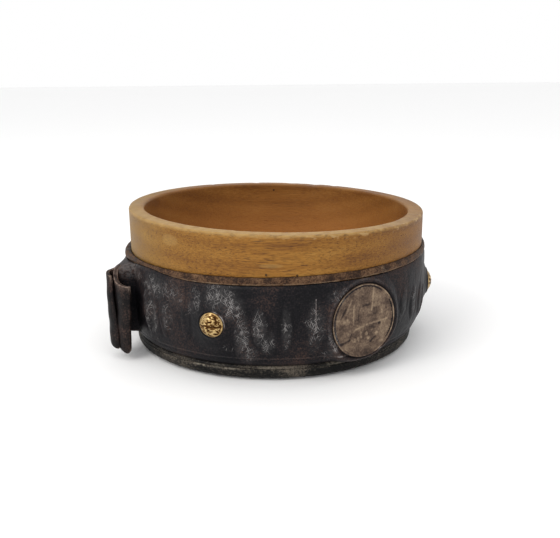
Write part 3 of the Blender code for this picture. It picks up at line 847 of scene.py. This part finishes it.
BASE_R = 0.0547
base_profile = [(0.0004, 0.0018), (0.0512, 0.0018), (0.0520, 0.0025), (0.0528, 0.0044)]
base_profile += [(BASE_R - 0.0006, 0.0044), (BASE_R - 0.0001, 0.0040), (BASE_R, 0.0031)]
base_profile += [(0.0545, 0.0021), (0.0540, 0.0013)]
base_profile += [(0.0531, 0.0007), (0.0520, 0.0002), (0.0508, 0.0), (0.0004, 0.0)]
base_places = turned_places(resample(base_profile, 0.0009), 480)
base_radius = np.hypot(base_places[..., 0], base_places[..., 1])
outside = smoothstep(base_radius, 0.0525, 0.0540)
base_swell = 1 + outside * rumple(base_places, 0.010, 6.0) * 0.0035
base_places[..., 0] *= base_swell
base_places[..., 1] *= base_swell
lean_foot(base_places)
base_mesh = grid_mesh("leather_base_disc", base_places[:, ::-1], True)
base_edge = hump(base_places[..., 2] - 0.0042, 0.0007) * outside
base_patches = 0.85 + 1.4 * rumple(base_places, 0.008, 2.0)
set_point_values(base_mesh, "wear_and_highlight", base_edge * worn_in_front(base_places) * base_patches)
fill_holes(base_mesh)
base_corners = [vertex.co for vertex in base_mesh.vertices]
set_flat_places(base_mesh, np.array([(corner.x, corner.y + corner.z) for corner in base_corners]))
base = add_piece("base_disc", base_mesh, welt_leather)
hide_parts("leather_base")
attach(base, "cup")

# ---------------------------------------------------------------- coins
# Brown bronze coins set flush in the leather. The struck side carries a made-up pattern: tall reeds above a
# curved ground line with stones and leaves below it, all rubbed low by handling.

COIN_T = 0.0017
COIN_RELIEF = 0.00034
COIN_TILT = 4.0

# Lines on the struck side, raised, or sunk where the rise has a minus: x and y of both ends, half width and
# rise. Millimetres, and rises in shares of COIN_RELIEF
COIN_LINES = [
    (4.7, 11.4, 3.3, 3.0, 0.16, 0.65), (-4.0, 6.4, -4.6, -0.4, 0.20, 0.50),
    (-4.9, 8.4, -7.6, 3.6, 0.22, 0.45),
    (0.8, 8.8, 0.2, 2.0, 0.25, 0.25), (-7.3, 5.8, -9.6, 2.6, 0.20, -0.70), (0.0, 5.3, 3.0, 5.4, 0.28, -0.60),
    (-1.8, 5.0, -2.6, 0.6, 0.16, -0.45), (1.4, 1.2, 5.4, 1.6, 0.30, -0.30), (6.8, 5.4, 7.6, 1.2, 0.22, 0.35),
    (-4.4, -2.6, 1.0, -1.7, 0.22, 0.55), (1.0, -1.7, 9.8, -1.5, 0.22, 0.55),
    (-12.0, -5.9, -9.6, -6.4, 0.26, -0.75), (-9.6, -6.4, -6.6, -5.8, 0.26, -0.75),
    (-6.6, -5.8, -5.5, -3.7, 0.26, -0.60), (2.2, -8.2, 4.4, -6.9, 0.24, -0.80),
    (-9.4, 9.0, -4.0, 11.5, 0.18, 0.25), (8.6, -3.0, 10.4, 3.0, 0.20, 0.30),
    (-10.4, -9.0, -6.0, -11.4, 0.50, 0.45),
]
# Leaves and stones, most of them below the ground line: middle, half width, half height, rise
COIN_STONES = [
    (-1.6, -5.0, 0.55, 1.5, 0.9), (-2.9, -6.0, 0.60, 1.0, 0.8), (-4.2, -6.3, 0.70, 0.9, 0.6),
    (0.7, -4.9, 0.65, 0.8, 0.9), (1.3, -6.6, 0.80, 0.8, 0.8), (4.9, -5.6, 0.75, 0.55, 0.9),
    (3.1, -4.0, 0.80, 0.5, 0.5), (-8.6, -9.1, 1.3, 0.7, 0.7), (6.2, -9.0, 1.6, 0.6, 0.4),
    (-7.6, 1.0, 1.8, 1.4, 0.35), (5.6, 4.6, 1.6, 1.0, 0.3), (6.4, -2.4, 0.8, 0.5, -0.9),
]
# The coin's edge and back: radius in millimetres and height from the face in metres
COIN_EDGE = [
    (12.97, -0.00008), (13.0, -0.0003), (13.0, -COIN_T + 0.0001), (12.9, -COIN_T), (0.05, -COIN_T),
]


def coin_relief(across, up):
    """Height of the struck side, from -1 to 1, at places in millimetres from the coin's middle."""
    relief = np.zeros_like(across)
    for x0, y0, x1, y1, half_width, rise in COIN_LINES:
        run = np.array([x1 - x0, y1 - y0])
        share = np.clip(((across - x0) * run[0] + (up - y0) * run[1]) / (run @ run), 0, 1)
        distance = np.hypot(across - x0 - share * run[0], up - y0 - share * run[1])
        relief += rise * np.exp(-(distance / (1.5 * half_width)) ** 2)
    for x, y, half_width, half_height, rise in COIN_STONES:
        reach = np.hypot((across - x) / half_width, (up - y) / half_height)
        relief += rise * (1 - smoothstep(reach, 0.55, 1.15))
    return relief * (1 - smoothstep(np.hypot(across, up), 11.9, 12.3))


def seat(azimuth, radius, height):
    """Turns a piece made on Z so that its Z lies along the cup's radius, and moves it there."""
    facing = on_wall(azimuth, 1.0, 0.0).to_track_quat("Z", "Y").to_matrix().to_4x4()
    return Matrix.Translation(on_wall(azimuth, radius, height)) @ facing


def coin_mesh(name, azimuth):
    """A coin let into the leather at this azimuth, a little askew."""
    rings_mm = np.concatenate([np.linspace(0.05, 11.9, 96), np.linspace(12.0, 12.88, 10)])[:, None]
    around = np.radians(np.linspace(0, 360, 300, endpoint=False))
    across = rings_mm * np.cos(around)
    up = rings_mm * np.sin(around)
    cosine, sine = math.cos(math.radians(COIN_TILT)), math.sin(math.radians(COIN_TILT))
    relief = coin_relief(across * cosine + up * sine, up * cosine - across * sine)
    flat = np.stack([across, up, np.zeros_like(up)], axis=-1)
    wear = rumple(flat, 3.0, 4.0 + azimuth) * 0.7 + rumple(flat, 0.9, 8.0) * 0.5
    rim = smoothstep(rings_mm + 0 * up, 12.45, 12.70)
    relief = np.clip(relief * (0.8 + 0.5 * wear) + 0.35 * wear, -1.0, 1.0)
    depth = COIN_RELIEF * ((0.45 * relief - 0.55) * (1 - rim) - 0.25 * rim)
    rows = [np.stack([across / 1000, up / 1000, depth], axis=-1)]
    for edge_mm, edge_z in COIN_EDGE:
        edge_r = edge_mm / 1000
        ring = np.stack([edge_r * np.cos(around), edge_r * np.sin(around), edge_z + 0 * around], axis=-1)
        rows.append(ring[None])
    mesh = grid_mesh(name, np.concatenate(rows), True)
    shown = (0.5 + 0.5 * relief) * (1 - rim) + (0.66 + 0.45 * wear) * rim
    edge_shown = np.full(len(COIN_EDGE) * len(around), 0.4)
    set_point_values(mesh, "struck", np.concatenate([np.clip(shown.reshape(-1), 0, 1), edge_shown]))
    fill_holes(mesh)
    mesh.transform(seat(azimuth, COIN_FACE_R, COIN_Z))
    return mesh


bronze, tree, shader = new_material("coin_bronze", 0.5, Metallic=0.45)
place = add_node(tree, "TexCoord").outputs["Object"]
struck = point_value(tree, "struck")
stain = even_noise(tree, place, 230.0, 5.0)
fine = even_noise(tree, place, 1600.0, 3.0)
patina = maths(tree, "MULTIPLY_ADD", struck, 1.10, maths(tree, "MULTIPLY_ADD", fine, 0.60, -0.82))
patina = maths(tree, "MULTIPLY_ADD", stain, 1.00, patina)
colour = ramp(tree, patina, [
    (0.20, srgb(38, 26, 20)), (0.42, srgb(76, 59, 47)),
    (0.60, srgb(101, 82, 66)), (0.90, srgb(144, 124, 100)),
])
gilt = ramp(tree, stain, [(0.45, 0.0), (0.60, 0.55)])
gilt = times(tree, ramp(tree, struck, [(0.80, 0.0), (0.95, 0.8)]), gilt)
colour = mix(tree, gilt, colour, srgb(142, 112, 62))
finish_surface(tree, shader, colour, ramp(tree, patina, [(0.3, 0.66), (0.8, 0.46)]), fine, 0.45, 0.00015)

for node_name, azimuth in COIN_AZIMUTHS.items():
    coin = add_piece(node_name + "_struck", coin_mesh(node_name + "_struck", azimuth), bronze)
    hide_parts(node_name)
    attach(coin, "cup")

# ---------------------------------------------------------------- brass nails
# Domed brass nails driven through the raised leather. The heads are chased with small crossing cuts, bright
# on top and dark in the cuts; the shanks end inside the wooden wall.

NAIL_DOME = 0.0019
NAIL_SHANK_R = 0.0008
NAIL_DEPTH = 0.0040
NAIL_POINT_L = 0.0015
CHASED_DEPTH = 0.00018


def nail_mesh(name, azimuth, height):
    """A nail with a chased dome, a flat underside and a shank that runs to a point."""
    head_r = NAIL_SEAT_R + 0.0003
    point = head_r - (REBATE_R - NAIL_DEPTH)
    dome_r = (NAIL_HEAD_R ** 2 + NAIL_DOME ** 2) / (2 * NAIL_DOME)
    half_angle = math.degrees(math.asin(NAIL_HEAD_R / dome_r))
    profile = arc(0.0, NAIL_DOME - dome_r, dome_r, 89.4, 90 - half_angle, 44)
    profile += [(NAIL_HEAD_R, -0.0001), (NAIL_HEAD_R - 0.0003, -0.0002), (NAIL_SHANK_R, -0.0002)]
    profile += [(NAIL_SHANK_R, -point + NAIL_POINT_L), (0.00005, -point)]
    places = turned_places(profile, 144)
    radius_here = np.hypot(places[..., 0], places[..., 1]) * 1000
    on_dome = (places[..., 2] > 0.0) * (1 - smoothstep(radius_here, 3.7, 4.2))
    drawn = np.stack([places[..., 0] * 0.38, places[..., 1], places[..., 2]], axis=-1)
    strokes = rumple(drawn, 0.00034, 11.0 + azimuth) + 0.6 * rumple(places, 0.0012, 3.0 + azimuth)
    strokes -= 1.1 * hump(places[..., 1] + 0.0002, 0.00022) * (1 + rumple(places, 0.0012, 9.0))
    cuts = smoothstep(strokes, -0.30, 0.35)
    places[..., 2] -= on_dome * (1 - cuts) * CHASED_DEPTH
    mesh = grid_mesh(name, places, True)
    set_point_values(mesh, "struck", np.where(on_dome > 0, cuts * on_dome + 0.8 * (1 - on_dome), 0.7))
    fill_holes(mesh)
    mesh.transform(seat(azimuth, head_r, height))
    return mesh


brass, tree, shader = new_material("nail_brass", 0.35, Metallic=1.0)
place = add_node(tree, "TexCoord").outputs["Object"]
struck = point_value(tree, "struck")
tarnish = even_noise(tree, place, 900.0, 4.0)
shine = maths(tree, "MULTIPLY_ADD", struck, 0.50, times(tree, tarnish, 0.60))
colour = ramp(tree, shine, [(0.22, srgb(46, 26, 14)), (0.50, srgb(112, 80, 42)), (0.82, srgb(200, 172, 120))])
finish_surface(tree, shader, colour, ramp(tree, shine, [(0.3, 0.60), (0.8, 0.30)]), tarnish, 0.25, 0.0001)

for node_name, (azimuth, nail_z) in NAILS.items():
    nail = add_piece(node_name + "_chased", nail_mesh(node_name + "_chased", azimuth, nail_z), brass)
    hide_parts(node_name)
    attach(nail, "cup")

# ---------------------------------------------------------------- nail pads
# Skived leather washers under the sleeve, one below each nail. They raise the bumps and stay out of sight.

for number in ("1", "2", "3"):
    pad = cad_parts["nail_pad_" + number]
    pad.data.materials.clear()
    pad.data.materials.append(cover_leather)

# ---------------------------------------------------------------- lug_curl and lug_roll
# The two glued plies of the cover's end part at the lug. The front ply curls forward into an open C, and the
# rear ply rolls up behind it with its end tucked in. The cut edges are rubbed pale along both sides.

CURL_T = 0.0017
ROLL_T = 0.0013
PLY_CORNER_R = 0.0022
PLY_EDGE_T = 0.0004
# Points along each ply: x, y, z of its lower and upper edge, and how far x and y shift down to the lower edge
CURL_PATH = [
    (-0.0583, -0.0228, 0.0086, 0.0337, 0, 0), (-0.0587, -0.0242, 0.0078, 0.0333, 0, 0),
    (-0.0590, -0.0262, 0.0066, 0.0326, 0, 0), (-0.0588, -0.0282, 0.0054, 0.0309, 0, 0),
    (-0.0578, -0.0304, 0.0043, 0.0295, -0.0002, 0), (-0.0562, -0.0322, 0.0034, 0.0288, -0.0005, 0),
    (-0.0543, -0.0334, 0.0028, 0.0285, -0.0008, 0), (-0.0525, -0.0339, 0.0034, 0.0288, -0.0010, 0),
]
ROLL_PATH = [
    (-0.0596, -0.0236, 0.0086, 0.0332, 0, 0), (-0.0606, -0.0239, 0.0082, 0.0328, 0, 0),
    (-0.0616, -0.0245, 0.0078, 0.0325, 0, 0), (-0.0621, -0.0256, 0.0073, 0.0324, 0, 0),
    (-0.0621, -0.0270, 0.0062, 0.0321, 0.0002, -0.0004), (-0.0616, -0.0284, 0.0048, 0.0318, 0.0006, -0.0012),
    (-0.0607, -0.0292, 0.0036, 0.0316, 0.0013, -0.0020), (-0.0600, -0.0294, 0.0029, 0.0314, 0.0019, -0.0026),
]


def smooth_path(anchors, per_span):
    """Points of a Catmull-Rom curve through the anchors."""
    rows = np.array(anchors)
    rows = np.vstack([2 * rows[0] - rows[1], rows, 2 * rows[-1] - rows[-2]])
    points = []
    for i in range(1, len(rows) - 2):
        a, b, c, d = rows[i - 1:i + 3]
        for t in np.arange(per_span) / per_span:
            points.append(0.5 * (2 * b + (c - a) * t + (2 * a - 5 * b + 4 * c - d) * t ** 2
                                 + (3 * b - 3 * c + d - a) * t ** 3))
    points.append(rows[-2])
    return np.array(points)


def ply_mesh(name, anchors, leather_t, seed):
    """A ply of leather on edge along a path in plan: two faces, rounded cut edges and rounded ends."""
    path = smooth_path(anchors, 9)
    x, y, low_z, high_z, shift_x, shift_y = path.T
    run = np.gradient(path[:, :2], axis=0)
    run /= np.linalg.norm(run, axis=1)[:, None]
    side = np.stack([run[:, 1], -run[:, 0], np.zeros(len(path))], axis=1)
    travelled = np.concatenate([[0], np.cumsum(np.linalg.norm(np.diff(path[:, :2], axis=0), axis=1))])
    left = travelled[-1] - travelled
    half = leather_t / 2
    ends = np.sqrt(np.clip(1 - (1 - np.clip(left / half, 0, 1)) ** 2, 0.02, 1))
    corner = PLY_CORNER_R * (1 - np.sqrt(np.clip(1 - (1 - np.clip(left / PLY_CORNER_R, 0, 1)) ** 2, 0, 1)))
    low = low_z + 0.0003 + corner * 0.9
    high = high_z - 0.0003 - corner * 0.25
    shares = np.linspace(0.0, 1.0, 46)
    loop = [(1.0, share, 0.0) for share in shares]
    loop += [(math.cos(a), 1.0, math.sin(a)) for a in np.radians(np.linspace(15, 165, 11))]
    loop += [(-1.0, share, 0.0) for share in shares[::-1]]
    loop += [(math.cos(a), 0.0, math.sin(a)) for a in np.radians(np.linspace(195, 345, 11))]
    rows, wear_and_highlight, flat = [], [], []
    for across, share, swell in loop + loop[:1]:
        z = low + share * (high - low) + swell * PLY_EDGE_T
        wander = 0.00008 * np.sin(z * 310 + seed) + 0.00005 * np.sin(z * 820 + seed * 2 + travelled * 300)
        offset = across * half * ends
        rows.append(np.stack([
            x + side[:, 0] * offset + wander + shift_x * (1 - share),
            y + side[:, 1] * offset + wander * 0.6 + shift_y * (1 - share), z,
        ], axis=-1))
        cut_edge = math.exp(-((abs(across) - 0.80) / 0.22) ** 2) if abs(swell) > 0.2 else 0.0
        by_top = 0.5 * math.exp(-((1 - share) / 0.10) ** 2)
        wear_and_highlight.append(max(1.6 * cut_edge, by_top) + 0.25 * (left < 0.0008))
        flat.append(np.stack([travelled + (0.02 if across < 0 else 0.0), z + swell * 0.001], axis=-1))
    places = np.array(rows)
    places += rumple(places, 0.004, seed)[..., None] * side * 0.00010
    mesh = grid_mesh(name, places)
    set_point_values(mesh, "wear_and_highlight", np.array(wear_and_highlight))
    set_flat_places(mesh, np.array(flat).reshape(-1, 2))
    fill_holes(mesh, weld=0.000001)
    return mesh


lug_leather = leather_material(
    "lug_leather", ((9, 8, 9), (22, 18, 18), (70, 54, 48)), (140, 122, 110),
    roughness=0.52, patchiness=0.75, wear_and_highlight_strength=0.65, clouds=150.0,
)
for piece_name, node_name, path, leather_t, seed in (
    ("open_curl", "lug_curl", CURL_PATH, CURL_T, 1.3), ("rear_roll", "lug_roll", ROLL_PATH, ROLL_T, 4.1),
):
    ply = add_piece(piece_name, ply_mesh(piece_name, path, leather_t, seed), lug_leather)
    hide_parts(node_name)
    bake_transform(ply)
